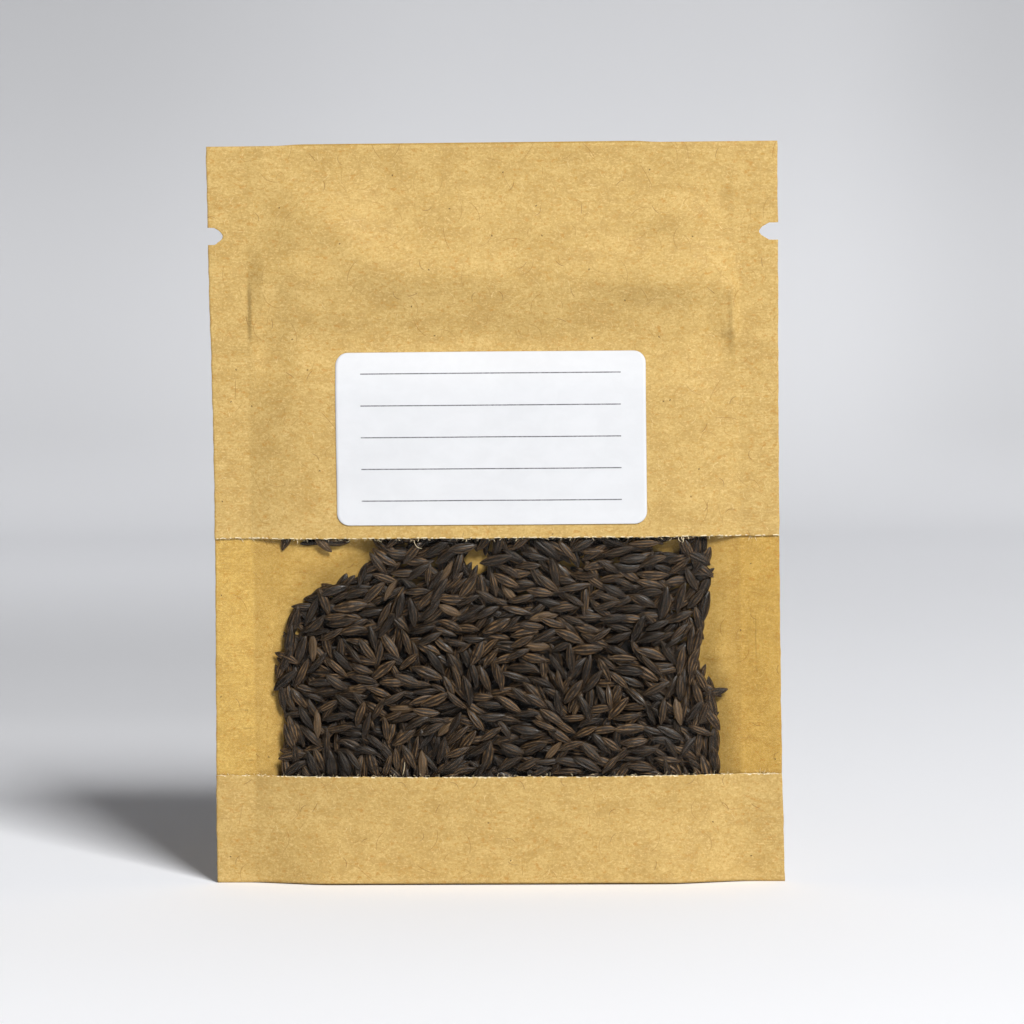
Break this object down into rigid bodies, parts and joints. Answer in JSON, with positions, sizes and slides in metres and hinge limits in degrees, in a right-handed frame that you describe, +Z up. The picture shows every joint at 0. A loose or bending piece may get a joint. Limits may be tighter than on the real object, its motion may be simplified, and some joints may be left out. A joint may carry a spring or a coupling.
{
  "type": "seed packet",
  "caption": "Small upright kraft-paper seed packet with a clear window strip across its front, a press-to-close zip, tear notches, a blank label and a heap of lettuce seeds inside.",
  "frame": {"origin": "on the surface that the packet stands on, under the middle of its bottom fold", "axes": "+Z up along the packet's height, +X to the right seen from the front, -Y the front with the window and the label"},
  "size_m": [0.07, 0.006, 0.091],
  "materials": {
    "kraft_paper": "matte",
    "clear_film": "gloss",
    "zip_plastic": "satin",
    "label_paper": "satin",
    "lettuce_seed": "satin"
  },
  "bodies": {
    "root": {"folded_kraft_sheet": "kraft_paper", "upper_front_kraft_sheet": "kraft_paper", "window_film": "clear_film", "zip_rib_strip": "zip_plastic", "zip_groove_strip": "zip_plastic", "label": "label_paper", "lettuce_seeds": "lettuce_seed"}
  },
  "joints": []
}
